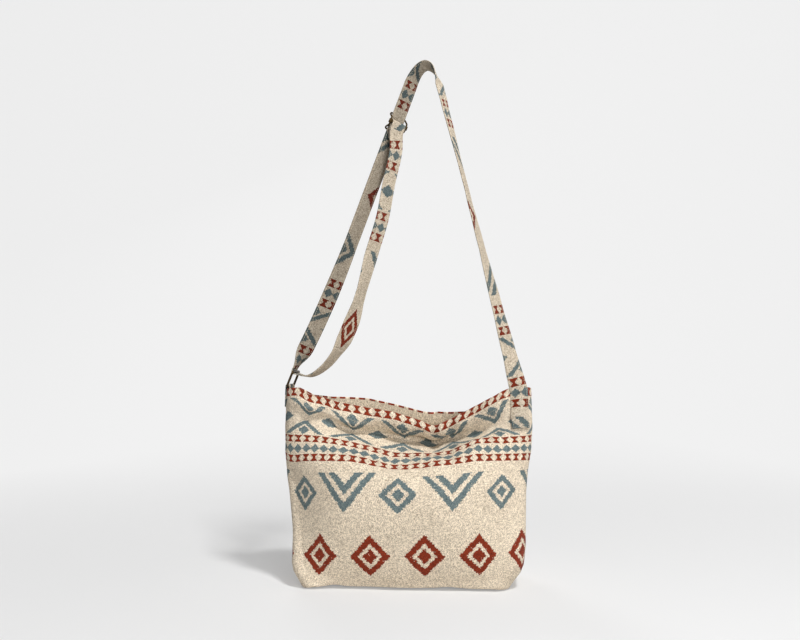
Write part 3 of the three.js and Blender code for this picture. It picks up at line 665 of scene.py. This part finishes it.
def half_thickness(thick):
    over = np.clip((np.abs(PLACES) - (STRAP_W / 2 - EDGE)) / EDGE, 0, 1)
    dip = 0.14 * thick * hump(np.abs(PLACES), STRAP_W / 2 - STITCH_IN, 0.9)
    return thick / 2 * np.sqrt(np.maximum(1 - over ** 2, 0)) - dip


def ribbon(name, mids, normals, half, uv_top, uv_low):
    """A closed ribbon from rows of middle points, their normals and their places on the cloth."""
    stations, n = mids.shape[:2]
    top = mids + normals * half[None, :, None]
    low = mids - normals * half[None, :, None]
    loop = np.concatenate([top, low[:, -2:0:-1]], 1)
    uvs = np.concatenate([uv_top, uv_low[:, -2:0:-1]], 1).reshape(-1, 2)
    size = loop.shape[1]
    faces = ring_faces(stations, size)
    sides = len(faces)
    under = lambda k: (size - k) % size
    for first, back in ((0, True), ((stations - 1) * size, False)):
        for k in range(n - 1):
            ring = [first + k, first + k + 1, first + under(k + 1), first + under(k)]
            quad = list(dict.fromkeys(ring))
            faces.append(quad[::-1] if back else quad)
    points = loop.reshape(-1, 3)
    faces = outward_faces(points, faces)
    # The reverse faces take the more darkened strap cloth, which paints shade on them.
    reverse = np.zeros(len(faces), int)
    reverse[:sides] = np.tile(np.arange(size) >= n - 1, stations - 1)
    obj = mesh_object(name, points, faces, (SHADED_STRAP_FACE, SHADED_STRAP_REVERSE), uvs, reverse)
    obj.data.polygons.foreach_set("use_smooth", np.arange(len(faces)) < sides)
    return obj


def section_frame(mids, normals):
    """Middle, direction across, normal and bow of one section, from the points across it."""
    middle = (mids[0] + mids[-1]) / 2
    across = unit(mids[-1] - mids[0])
    normal = normals[0] + normals[-1]
    normal = unit(normal - across * np.dot(normal, across))
    return middle, across, normal, (mids - middle) @ normal


def sewn(end, offset, places, share, off):
    """Middle points and normals of a ribbon lying `off` outside the bag's end."""
    p, n = end_patch(end, share, offset + end * places)
    return p + n * off, n


def along_path(points, spacing=None, at=None):
    """Points and unit tangents at even steps, or at given lengths, along a dense polyline."""
    run = lengths(points)
    if at is None:
        at = np.linspace(0, run[-1], max(int(round(run[-1] / spacing)), 1) + 1)
    pick = lambda d: at_lengths(d, run, points)
    near = 0.4
    tangent = unit(pick(np.minimum(at + near, run[-1])) - pick(np.maximum(at - near, 0)))
    return pick(at), tangent, at, run[-1]


def square(across, along):
    """The part of a direction across that is square to the run."""
    across = across - along * (across * along).sum(-1, keepdims=True)
    return unit(across)


def turned(table, at, along):
    """Direction across a strap that turns about its run as a table says."""
    turn = np.radians(np.interp(at, table[:, 0], table[:, 1]))[:, None]
    return square(unit(np.cross(AWAY, along)) * np.cos(turn) + AWAY * np.sin(turn), along)


def centripetal(points, count=60):
    """A smooth curve through the points, as a dense polyline."""
    p = np.vstack([2 * points[0] - points[1], points, 2 * points[-1] - points[-2]])
    out = []
    for i in range(1, len(p) - 2):
        a, b, c, d = p[i - 1:i + 3]
        d0, d1, d2 = [max(np.linalg.norm(y - x), 1e-4) ** 0.5 for x, y in ((a, b), (b, c), (c, d))]
        m1 = ((b - a) / d0 - (c - a) / (d0 + d1) + (c - b) / d1) * d1
        m2 = ((c - b) / d1 - (d - b) / (d1 + d2) + (d - c) / d2) * d1
        t = np.linspace(0, 1, count, endpoint=False)[:, None]
        out.append((2 * t ** 3 - 3 * t ** 2 + 1) * b + (t ** 3 - 2 * t ** 2 + t) * m1
                   + (-2 * t ** 3 + 3 * t ** 2) * c + (t ** 3 - t ** 2) * m2)
    return np.vstack(out + [p[-2:-1]])


PLACES = places_across(STRAP_W)
FIVE = np.linspace(-0.5, 0.5, 5) * STRAP_W
STRAP_HALF, TAB_HALF = half_thickness(STRAP_T), half_thickness(TAB_T)
HINGE_RISE = 4.4  # puts the ring's lower bar on its joint's axis
ONE = np.array([1.0])

# Ring's place, from the tab's rim
tab_mids, tab_normals = sewn(-1, TAB_OFF, FIVE, ONE, GAP + TAB_T / 2)
tab_middle, tab_line, tab_normal, _ = section_frame(tab_mids[0], tab_normals[0])
hinge = tab_middle - tab_normal * (GAP + (TAB_T + thickness(1.0)) / 2) + UP * HINGE_RISE
left_shoulder = np.array([HANG_X - ARCH_SPAN / 2, HANG_Y, HANG_H - ARCH_DROP])
right_shoulder = np.array([HANG_X + ARCH_SPAN / 2, HANG_Y, HANG_H - ARCH_DROP])
pull = unit(left_shoulder - hinge)
ring_across = square(tab_line, pull)
ring_across = ring_across * np.sign(ring_across[0])
ring_normal = unit(np.cross(ring_across, pull))
ring_reach = RING_H + RING_WIRE
ring_bar = hinge + pull * ring_reach
bar_turn = RING_WIRE / 2 + GAP + STRAP_T / 2
strap_end = ring_bar - ring_normal * bar_turn + pull * RING_WIRE

# Strap: sewn end, right run, arch and left run
anchor_mids, anchor_normals = sewn(1, ANCHOR_OFF, PLACES, ONE, GAP + STRAP_T / 2)
anchor_middle, anchor_across, _, anchor_bow = section_frame(anchor_mids[0], anchor_normals[0])
right_along = unit(right_shoulder - anchor_middle)
bend = mix(left_shoulder, strap_end, LEFT_STRAIGHT / np.linalg.norm(strap_end - left_shoulder))
bend = bend + np.array([LEFT_BEND, 0, 0])
left_along = unit(bend - left_shoulder)
knee = bend + left_along * LEFT_SWEEP * np.linalg.norm(strap_end - bend)
arm = ARCH_DROP * ARCH_LIFT
done = np.linspace(0, 1, 400)[:, None]
left = 1 - done
arch_line = (left ** 3 * right_shoulder + 3 * left ** 2 * done * (right_shoulder + right_along * arm)
             + 3 * left * done ** 2 * (left_shoulder - left_along * arm) + done ** 3 * left_shoulder)
left_line = np.vstack([
    left_shoulder, left ** 2 * bend + 2 * left * done * knee + done ** 2 * strap_end])
STEP = 2.0


def strap_run(number, at=None):
    line = [np.stack([anchor_middle, right_shoulder]), arch_line, left_line][number]
    middle, along, at, length = along_path(line, STEP, at)
    across = turned(TURN, number + at / length, along)
    near_bag = np.zeros(len(at))
    if number == 0:
        near_bag = 1 - smooth(at, 0, FADE)
        across = mix(across, anchor_across, near_bag[:, None])
    if number == 2:
        across = mix(across, ring_across, (1 - smooth(length - at, 0, RING_TWIST))[:, None])
    across = square(across, along)
    normal = unit(np.cross(across, along))
    return middle, along, across, normal, near_bag, at, length


def free_rows(middle, across, normal, bow=0.0):
    """Rows of points across a strap that hangs free."""
    mids = middle[:, None] + across[:, None] * PLACES[None, :, None]
    return mids + normal[:, None] * np.broadcast_to(bow, mids.shape[:2])[..., None]


def cloth_uv(run, first, centre, widen=1.0):
    """Places on the cloth for a ribbon cut lengthwise: u across, t down along the run."""
    u = centre + PLACES[None, :] * np.broadcast_to(widen, run.shape)[:, None]
    return np.stack([u, np.broadcast_to((first - run)[:, None], u.shape)], -1)


def ripple(run, seed):
    """A soft unevenness of the strap along its length and across it."""
    return value_noise(run[:, None] / 23 + seed, PLACES[None, :] / 15 + seed) * 0.35


rows = [strap_run(k) for k in range(3)]
sewn_share = 1 - np.linspace(ANCHOR_L, 0, 27) / HEIGHT
sewn_mids, sewn_normals = sewn(1, ANCHOR_OFF, PLACES, sewn_share, GAP + STRAP_T / 2)
run_right, run_arch, run_left = rows[0][6], rows[1][6], rows[2][6]
strap_mids, strap_normals = [sewn_mids], [sewn_normals]
strap_lengths = [np.linspace(-ANCHOR_L, 0, 27)]
start = 0.0
for number, (middle, along, across, normal, near_bag, at, length) in enumerate(rows):
    bow = anchor_bow[None, :] * near_bag[:, None]
    if number < 2:
        bow = bow + ripple(at + start, 3.0 + number) * smooth(at, 0, 40)[:, None]
    strap_mids.append(free_rows(middle, across, normal, bow)[1:])
    strap_normals.append(np.repeat(normal[1:, None], len(PLACES), 1))
    strap_lengths.append(at[1:] + start)
    start += length
strap_mids, strap_normals = np.concatenate(strap_mids), np.concatenate(strap_normals)
strap_lengths = np.concatenate(strap_lengths)
SPLIT = run_right + run_arch + run_left - 140
cut = int(np.searchsorted(strap_lengths, SPLIT))
head, foot = slice(None, cut + 1), slice(cut, None)
OUTER_T, INNER_T = 92.0, 95.5 + run_right + run_arch + 0.727 * run_left
uv_out = cloth_uv(strap_lengths, OUTER_T, COLUMN_RED + 22)
uv_in = cloth_uv(strap_lengths, INNER_T, COLUMN_RED - 24)
strap_upper = ribbon("strap_cloth", strap_mids[head], strap_normals[head], STRAP_HALF,
                     uv_out[head], uv_in[head])
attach(strap_upper, "bag")
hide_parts("strap")
strap_lower = ribbon("strap_lower_cloth", strap_mids[foot], strap_normals[foot], STRAP_HALF,
                     uv_out[foot], uv_in[foot])
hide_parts("strap")
blend_from, blend_to = strap_run(2, np.array([run_left - 130, run_left - 6]))[0]
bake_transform(strap_lower)

# Tab round the ring's lower bar
tab_share = 1 - np.linspace(TAB_L, 0, 16) / HEIGHT
leg_mids, leg_normals = sewn(-1, TAB_OFF, PLACES, tab_share, GAP + TAB_T / 2)
tab_turn = RING_WIRE / 2 + GAP + TAB_T / 2
tab_outward = ring_normal * np.sign(ring_normal @ tab_normal)
tab_across = ring_across * np.sign(ring_across @ tab_line)
angle = np.linspace(0, math.pi, 21)[:, None]
spoke = tab_outward * np.cos(angle) + pull * np.sin(angle)
turn_mids = free_rows(hinge + spoke * tab_turn, np.repeat(tab_across[None], 21, 0), spoke)
inner_off = -(thickness(tab_share) + 0.9 + TAB_T / 2)
in_p, in_n = sewn(-1, TAB_OFF, PLACES, tab_share, 0.0)
in_mids = (in_p + in_n * inner_off[:, None, None])[::-1]
tab_mids = np.concatenate([leg_mids, turn_mids, in_mids])
tab_rows_normals = np.concatenate([
    leg_normals, np.repeat(spoke[:, None], len(PLACES), 1), -in_n[::-1]])
tab_run = lengths(tab_mids[:, 10])
TAB_FIRST, TAB_COLUMN = 190.0, 5.0
tab_uv = cloth_uv(tab_run, TAB_FIRST, TAB_COLUMN)
tab = ribbon("ring_tab_cloth", tab_mids, tab_rows_normals, TAB_HALF, tab_uv, tab_uv)
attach(tab, "bag")
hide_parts("ring_tab")

# Slider's place on the left run
slider_place = strap_run(2, np.array([float(SL_DROP)]))
slider_middle, slider_along, slider_across, slider_normal = [v[0] for v in slider_place[:4]]
slider_rise, slider_front = -slider_along, -slider_normal
tail_turn = SL_WIRE / 2 + GAP + STRAP_T / 2
bar_off = STRAP_T + GAP + tail_turn
end_off = -(STRAP_T / 2 + GAP + SL_WIRE / 2)
sleeve_in = SL_WIRE / 2 + GAP
rail_off = STRAP_W / 2 + SIDE_SPACE + SLEEVE_WALL + sleeve_in


def at_slider(w, l, n):
    return slider_middle + slider_across * w + slider_rise * l + slider_front * n


# Return run: under the ring's bar, out to the front right, up to the slider and round its cross bar
wrap = math.radians(84)
round_bar = lambda a: ring_normal * -np.cos(a) - pull * np.sin(a)
leave = ring_bar + round_bar(wrap) * bar_turn
beside = unit(ring_normal * np.array([1, 1, 0]))
reach = slider_middle - ring_bar
knots = np.array([leave] + [ring_bar + reach * r + beside * o * BOW for r, o in RETURN] + [
    at_slider(0, -TAIL_L * 0.6, bar_off + tail_turn + 2 * GAP),
    at_slider(0, 0, bar_off + tail_turn)])
run_line = centripetal(knots)
ret_mid, ret_along, ret_at, ret_len = along_path(run_line, STEP)
RETURN_TURN = np.array([(0, 72), (0.12, 71), (0.18, 65), (0.235, 38), (0.3, 36), (0.37, 60),
                        (0.42, 64), (0.47, 58), (0.53, 50), (0.9, 54)])


def return_across(share, along):
    free = turned(RETURN_TURN, share, along)
    near = mix(ring_across, free, smooth(share, 0, 0.14)[:, None])
    return square(mix(near, slider_across, smooth(share, 0.8, 1)[:, None]), along)


ret_across = return_across(ret_at / ret_len, ret_along)
wrap_angle = np.linspace(0, wrap, 13)[:, None]
wrap_mid = ring_bar + round_bar(wrap_angle) * bar_turn
wrap_along = round_bar(wrap_angle + math.pi / 2)
start_mid = (strap_end - pull * GAP)[None]
over_angle = np.linspace(0, math.pi, 15)[1:, None]
over_off = slider_front * np.cos(over_angle) + slider_rise * np.sin(over_angle)
over_mid = at_slider(0, 0, bar_off) + over_off * tail_turn
over_along = slider_rise * np.cos(over_angle) - slider_front * np.sin(over_angle)
tail_t = np.linspace(0, 1, 11)[1:]
tail_mid, tail_along, _, _ = along_path(run_line, at=ret_len - tail_t * TAIL_L)
tail_across = return_across(1 - tail_t * TAIL_L / ret_len, tail_along)
apart = mix(2 * tail_turn, STRAP_T + GAP, smooth(tail_t, 0, 0.6))[:, None]
tail_mid = tail_mid - unit(np.cross(tail_across, tail_along)) * apart
middles = np.concatenate([start_mid, wrap_mid, ret_mid[1:], over_mid, tail_mid])
alongs = np.concatenate([-pull[None], wrap_along, ret_along[1:], over_along, -tail_along])
acrosses = square(np.concatenate([
    np.repeat(ring_across[None], 14, 0), ret_across[1:],
    np.repeat(slider_across[None], 14, 0), tail_across]), alongs)
normals = unit(np.cross(acrosses, alongs))
ret_run = lengths(middles)
ret_mids = free_rows(middles, acrosses, normals)
ret_normals = np.repeat(normals[:, None], len(PLACES), 1)
WIDE_AT, LOWER_L = 124.0, 90.0
RETURN_T = 250.4 + WIDE_AT
widen = 1 + (smooth(ret_run, WIDE_AT - 50, WIDE_AT - 32)
             - smooth(ret_run, WIDE_AT + 32, WIDE_AT + 50))
ret_uv = cloth_uv(ret_run, RETURN_T, COLUMN_RED, widen)
ret_uv_back = cloth_uv(ret_run, RETURN_T - 30, COLUMN_RED - 13)
joint = int(np.searchsorted(ret_run, LOWER_L))
low, high = slice(None, joint + 1), slice(joint, None)
lower = ribbon("return_lower_cloth", ret_mids[low], ret_normals[low], STRAP_HALF,
               ret_uv[low], ret_uv_back[low])
upper = ribbon("return_upper_cloth", ret_mids[high], ret_normals[high], STRAP_HALF,
               ret_uv[high], ret_uv_back[high])
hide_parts("strap_return")
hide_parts("strap_return")
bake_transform(lower)
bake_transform(upper)


# Wire ring and slider

def wire_outline(width, height, corner, per_side=12):
    """A rounded rectangle as [across, along] from its middle."""
    points = []
    for sx, sy, first in ((1, 1, 0), (-1, 1, 90), (-1, -1, 180), (1, -1, 270)):
        for a in np.radians(first + np.linspace(0, 90, 9)):
            points.append((sx * (width / 2 - corner) + corner * math.cos(a),
                           sy * (height / 2 - corner) + corner * math.sin(a)))
    closed = np.array(points + points[:1])
    out = []
    for a, b in zip(closed[:-1], closed[1:]):
        count = per_side if np.linalg.norm(b - a) > corner else 1
        out += [mix(a, b, i / count) for i in range(count)]
    return np.array(out)


def tube(name, line, front_dir, wire, closed=True, sides=18, body="bag"):
    """A round wire along a line of points."""
    if closed:
        tangent = unit(np.roll(line, -1, 0) - np.roll(line, 1, 0))
    else:
        tangent = unit(np.gradient(line, axis=0))
    face = square(np.broadcast_to(front_dir, line.shape), tangent)
    side = np.cross(tangent, face)
    a = np.linspace(0, 2 * math.pi, sides, endpoint=False)[None, :, None]
    points = line[:, None] + (face[:, None] * np.cos(a) + side[:, None] * np.sin(a)) * wire / 2
    points = points.reshape(-1, 3)
    faces = outward_faces(points, ring_faces(len(line), sides, closed, not closed))
    obj = mesh_object(name, points, faces, (BRASS,))
    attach(obj, body)
    return obj


ring_width = STRAP_W + 2 * RING_SIDE + RING_WIRE
ring_line = np.array([hinge + pull * (ring_reach / 2 + l) + ring_across * w
                      for w, l in wire_outline(ring_width, ring_reach, RING_R)])
ring = tube("ring_wire", ring_line, ring_normal, RING_WIRE, body="ring")
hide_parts("ring")

slider_line = np.array([
    at_slider(w, l, mix(bar_off, end_off, smooth(abs(l), SL_FLAT / 2, SL_H / 2)))
    for w, l in wire_outline(2 * rail_off, SL_H, SL_R, 24)])
slider_frame = tube("slider_wire", slider_line, slider_front, SL_WIRE, body="slider")
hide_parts("slider_frame")


def slider_bar():
    """Cross bar with a curled sleeve round each rail of the slider."""
    half = rail_off - sleeve_in - SLEEVE_WALL / 2
    bar_line = np.array([at_slider(w, 0, bar_off) for w in np.linspace(-half, half, 9)])
    bar = tube("slider_cross_bar", bar_line, slider_front, SL_WIRE, closed=False, body="slider")
    sleeve_out = sleeve_in + SLEEVE_WALL
    upper_half = [(sleeve_in, 0.42), (sleeve_in + 0.15, 0.5),
                  (sleeve_out - 0.25, 0.5), (sleeve_out, 0.44)]
    profile = [(r, -l) for r, l in upper_half] + upper_half[::-1]
    sides, size = 28, len(profile)
    pieces = [bar]
    for name, end in (("left", -1), ("right", 1)):
        points = []
        for a in np.linspace(0, 2 * math.pi, sides, endpoint=False):
            spoke_dir = slider_across * math.cos(a) + slider_front * math.sin(a)
            for r, l in profile:
                points.append(at_slider(end * rail_off, l * SLEEVE_L, bar_off) + spoke_dir * r)
        faces = outward_faces(points, ring_faces(sides, size, closed=True))
        sleeve = mesh_object(f"slider_sleeve_{name}", points, faces, (BRASS,))
        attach(sleeve, "slider")
        pieces.append(sleeve)
    for piece in pieces:
        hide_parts("slider_bar")


slider_bar()


# Stitches

def stitches(name, lines, body, pitch=3.3, length=2.5, radius=0.24):
    """Short raised threads along lines of (points, normals)."""
    sides, rings = 6, 5
    points, faces = [], []
    for line, normal in lines:
        run = lengths(line)
        count = int((run[-1] - length) // pitch)
        first = (run[-1] - count * pitch) / 2
        for i in range(count + 1):
            middle = first + i * pitch
            out = unit(at_lengths(middle, run, normal))
            a, b = at_lengths(np.array([middle - length / 2, middle + length / 2]), run, line)
            along = unit(b - a)
            side = unit(np.cross(along, out))
            base = len(points)
            for k in range(rings):
                s = k / (rings - 1)
                swell = math.sin(math.pi * mix(0.08, 0.92, s))
                centre = mix(a, b, s) + out * radius * (swell * 1.1 - 0.55)
                for j in range(sides):
                    w = 2 * math.pi * j / sides
                    thread_out = side * math.cos(w) + out * math.sin(w)
                    points.append(centre + thread_out * radius * (0.45 + 0.55 * swell))
            faces += ring_faces(rings, sides, capped=True, first=base)
    obj = mesh_object(name, points, faces, (THREAD,))
    if body:
        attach(obj, body)
    return obj


def edge_lines(mids, normals):
    """Lines of stitching along both edges and both faces of the strap."""
    lines = []
    for place in (-(STRAP_W / 2 - STITCH_IN), STRAP_W / 2 - STITCH_IN):
        k = int(np.argmin(np.abs(PLACES - place)))
        for sign in (1, -1):
            lines.append((mids[:, k] + sign * normals[:, k] * STRAP_HALF[k], sign * normals[:, k]))
    return lines


hem_row = BASE_ROWS - 1 + int(np.argmin(np.abs(DOWN[:, 0] - HEM_LINE)))
for name, skin, side in (("front", front_skin, -1), ("back", back_skin, 1)):
    skin_normal = grid_normals(skin, side)
    hem = (skin[hem_row, 4:-4], skin_normal[hem_row, 4:-4])
    stitches(f"{name}_hem_stitches", [hem], "bag")
stitches("strap_stitches", edge_lines(strap_mids[head], strap_normals[head]), "bag")
low_stitches = stitches("strap_lower_stitches", edge_lines(strap_mids[foot], strap_normals[foot]),
                        None)
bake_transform(low_stitches)
low_return = stitches("return_lower_stitches", edge_lines(ret_mids[low], ret_normals[low]),
                      None)
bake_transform(low_return)
up_return = stitches("return_upper_stitches", edge_lines(ret_mids[high], ret_normals[high]),
                     None)
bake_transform(up_return)


# Floor, backdrop, light and camera

def plainly_seen(tree):
    """One where the eye looks straight, by a mirror or through glass, else nought."""
    path = tree.nodes.new("ShaderNodeLightPath")
    seen = Wire(path.outputs["Is Camera Ray"])
    for kind in ("Is Glossy Ray", "Is Transmission Ray"):
        seen = seen.either(Wire(path.outputs[kind]))
    return seen


def stage_material():
    k = Tree("pale_stage")
    k.tree.nodes.remove(k.shader)
    matt = k.node("ShaderNodeBsdfDiffuse", {"Color": colour(225, 225, 225)}).outputs[0]
    glow = k.node("ShaderNodeEmission", {"Color": colour(246, 246, 246)}).outputs[0]
    place = k.node("ShaderNodeTexCoord").outputs["Object"]
    far = Wire(k.node("ShaderNodeVectorMath", {0: place}, operation="LENGTH").outputs["Value"])
    share = plainly_seen(k.tree) * (far * 0.5 + 0.12).either(0.3).both(0.86)
    mixed = k.node("ShaderNodeMixShader", {0: share, 1: matt, 2: glow})
    feed(k.tree.nodes["Material Output"], {0: mixed.outputs[0]})
    return k.material


def stage():
    """Floor that sweeps up into a backdrop."""
    near, far, wide, rise, bend, low = -6.0, 2.2, 9.0, 7.0, 1.2, -0.0004
    profile = [(near, low), (far - bend, low)]
    for a in np.linspace(0, math.pi / 2, 17)[1:]:
        profile.append((far - bend + bend * math.sin(a), bend - bend * math.cos(a)))
    profile.append((far, rise))
    points = [(x / MM, y / MM, z / MM) for y, z in profile for x in (-wide, wide)]
    faces = [[2 * i, 2 * i + 1, 2 * i + 3, 2 * i + 2] for i in range(len(profile) - 1)]
    mesh_object("stage", points, faces, (stage_material(),))


def area_light(name, place, target, size, power):
    data = bpy.data.lights.new(name, "AREA")
    data.shape, data.size, data.energy = "DISK", size, power
    obj = bpy.data.objects.new(name, data)
    obj.location = place
    obj.rotation_euler = (Vector(target) - Vector(place)).to_track_quat("-Z", "Y").to_euler()
    scene.collection.objects.link(obj)


stage()
area_light("key", (0.848, -1.086, 2.455), (0, 0, 0.25), 0.45, 58)
area_light("fill", (1.1, -2.9, 1.1), (0, 0, 0.25), 1.2, 36)
area_light("back", (-0.7, 1.7, 1.5), (0, 0, 0.2), 0.8, 9)
world = bpy.data.worlds.new("studio")
world.use_nodes = True
ambient = plainly_seen(world.node_tree) * 0.85 + 0.15
feed(world.node_tree.nodes["Background"], {"Color": colour(241, 241, 241), "Strength": ambient})
scene.world = world
scene.view_settings.view_transform = "Standard"

camera_data = bpy.data.cameras.new("camera")
camera_data.lens, camera_data.sensor_width = 48.0, 36.0
camera = bpy.data.objects.new("camera", camera_data)
YAW, AWAY_BY, ASIDE_BY, EYE = math.radians(5), 1.554, 0.0116, 0.378
camera.location = (AWAY_BY * math.sin(YAW) - ASIDE_BY * math.cos(YAW),
                   -AWAY_BY * math.cos(YAW) - ASIDE_BY * math.sin(YAW), EYE)
camera.rotation_euler = (math.pi / 2, 0, YAW)
scene.collection.objects.link(camera)
scene.camera = camera
